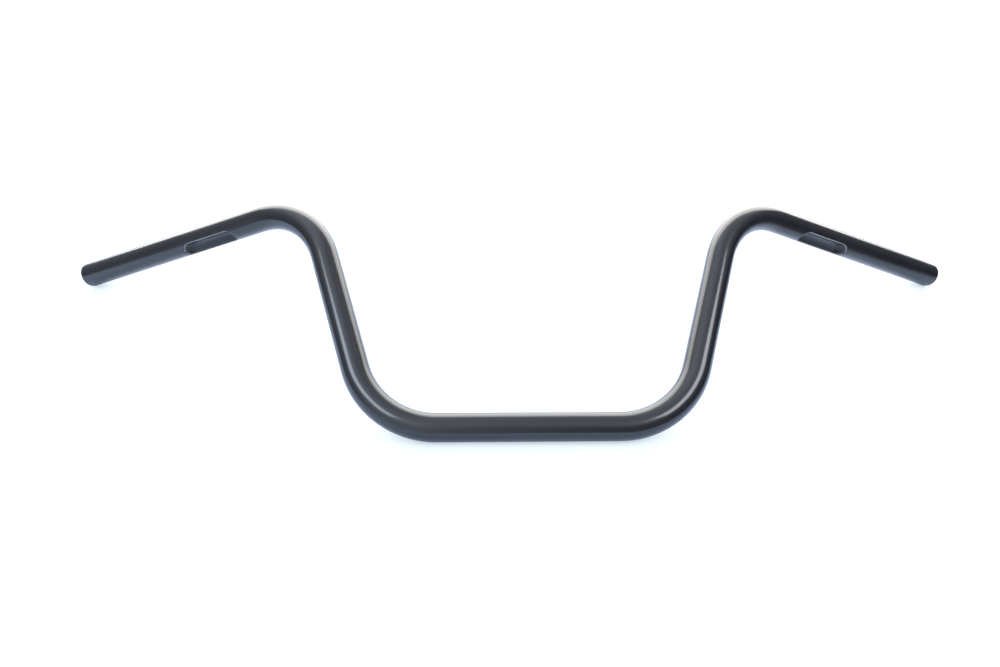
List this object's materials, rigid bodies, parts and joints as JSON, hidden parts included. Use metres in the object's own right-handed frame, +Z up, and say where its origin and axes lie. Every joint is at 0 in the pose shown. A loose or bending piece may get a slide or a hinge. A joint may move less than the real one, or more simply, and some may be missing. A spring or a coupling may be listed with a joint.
{
  "type": "ape hanger handlebar",
  "caption": "Ape hanger motorcycle handlebar bent from round steel tube, with splayed legs, swept-back grips and a pressed wiring dimple in each grip.",
  "frame": {"origin": "middle of the clamp section, on the tube's axis", "axes": "+X along the clamp section, +Y from it towards the grips along the table, +Z up; the bar lies on its clamp section and its two ends"},
  "size_m": [0.9448, 0.2732, 0.1271],
  "materials": {
    "black_coat": "satin black powder coat"
  },
  "bodies": {
    "root": {"handlebar": "black_coat"}
  },
  "joints": []
}
